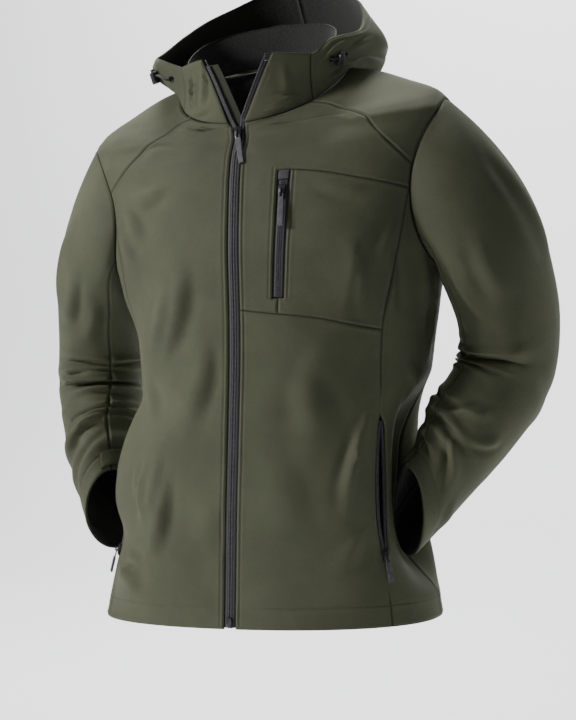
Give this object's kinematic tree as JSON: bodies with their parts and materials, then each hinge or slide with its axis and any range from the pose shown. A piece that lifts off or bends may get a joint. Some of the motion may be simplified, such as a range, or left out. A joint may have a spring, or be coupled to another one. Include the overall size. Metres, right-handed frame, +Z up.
{
  "type": "hooded softshell jacket",
  "caption": "Hooded softshell jacket as worn, with open cuffs, hem and neck, a part-open front zip and zipped chest and hand pockets.",
  "frame": {"origin": "middle of the neck opening at the collar seam", "axes": "+Z up, the front faces -Y, +X to the wearer's left"},
  "size_m": [0.665, 0.3024, 0.7855],
  "materials": {
    "softshell": "matte olive green face, dark fleece back",
    "zip_tape": "matte woven tape",
    "pocket_lining": "matte mesh",
    "cord": "braided, matte",
    "dark_metal": "gunmetal, half gloss",
    "pull_grip": "soft moulded grip on a metal link",
    "lock_plastic": "moulded, matte"
  },
  "bodies": {
    "jacket": {"front_right": "softshell", "front_left_lower": "softshell", "front_left_upper": "softshell", "chest_pocket_panel": "softshell", "side_right": "softshell", "side_left": "softshell", "yoke_right": "softshell", "yoke_left": "softshell", "back_panel": "softshell", "sleeve_upper_right": "softshell", "sleeve_under_right": "softshell", "sleeve_upper_left": "softshell", "sleeve_under_left": "softshell", "cuff_tab_right": "softshell", "cuff_tab_left": "softshell", "collar_front_right": "softshell", "collar_front_left": "softshell", "hood_right": "softshell", "hood_left": "softshell", "collar_inner": "softshell", "storm_flap": "softshell", "front_zip_tape_right": "zip_tape", "front_zip_tape_left": "zip_tape", "chest_zip_tape": "zip_tape", "hand_zip_front_right": "zip_tape", "hand_zip_back_right": "zip_tape", "hand_zip_front_left": "zip_tape", "hand_zip_back_left": "zip_tape", "chest_zip_tab": "zip_tape", "hand_pocket_bag_right": "pocket_lining", "hand_pocket_bag_left": "pocket_lining", "hood_cord_right": "cord", "hood_cord_left": "cord", "front_zip_slider": "dark_metal", "chest_zip_slider": "dark_metal", "hand_zip_slider_right": "dark_metal", "hand_zip_slider_left": "dark_metal", "front_zip_box": "dark_metal", "eyelet_right_front": "dark_metal", "eyelet_right_back": "dark_metal", "eyelet_left_front": "dark_metal", "eyelet_left_back": "dark_metal", "cord_lock_right": "lock_plastic", "cord_lock_left": "lock_plastic"},
    "front_pull_body": {"front_pull": "pull_grip"},
    "chest_pull_body": {"chest_pull": "pull_grip"},
    "hand_pull_right_body": {"hand_pull_right": "pull_grip"},
    "hand_pull_left_body": {"hand_pull_left": "pull_grip"}
  },
  "joints": [
    {"name": "front_pull_hinge", "type": "hinge", "parent": "jacket", "child": "front_pull_body", "pos_m": [0.00609, -0.07959, -0.04743], "axis": [-0.9401, -0.1053, -0.3242], "range_deg": [0, 70]},
    {"name": "chest_pull_hinge", "type": "hinge", "parent": "jacket", "child": "chest_pull_body", "pos_m": [0.07814, -0.11237, -0.116], "axis": [-0.9913, -0.0969, -0.0891], "range_deg": [0, 70]},
    {"name": "hand_pull_right_hinge", "type": "hinge", "parent": "jacket", "child": "hand_pull_right_body", "pos_m": [-0.17078, -0.05741, -0.55249], "axis": [-0.551, 0.8188, 0.1613], "range_deg": [0, 70]},
    {"name": "hand_pull_left_hinge", "type": "hinge", "parent": "jacket", "child": "hand_pull_left_body", "pos_m": [0.19127, -0.06671, -0.53536], "axis": [-0.6077, -0.7841, -0.1261], "range_deg": [0, 70]}
  ]
}
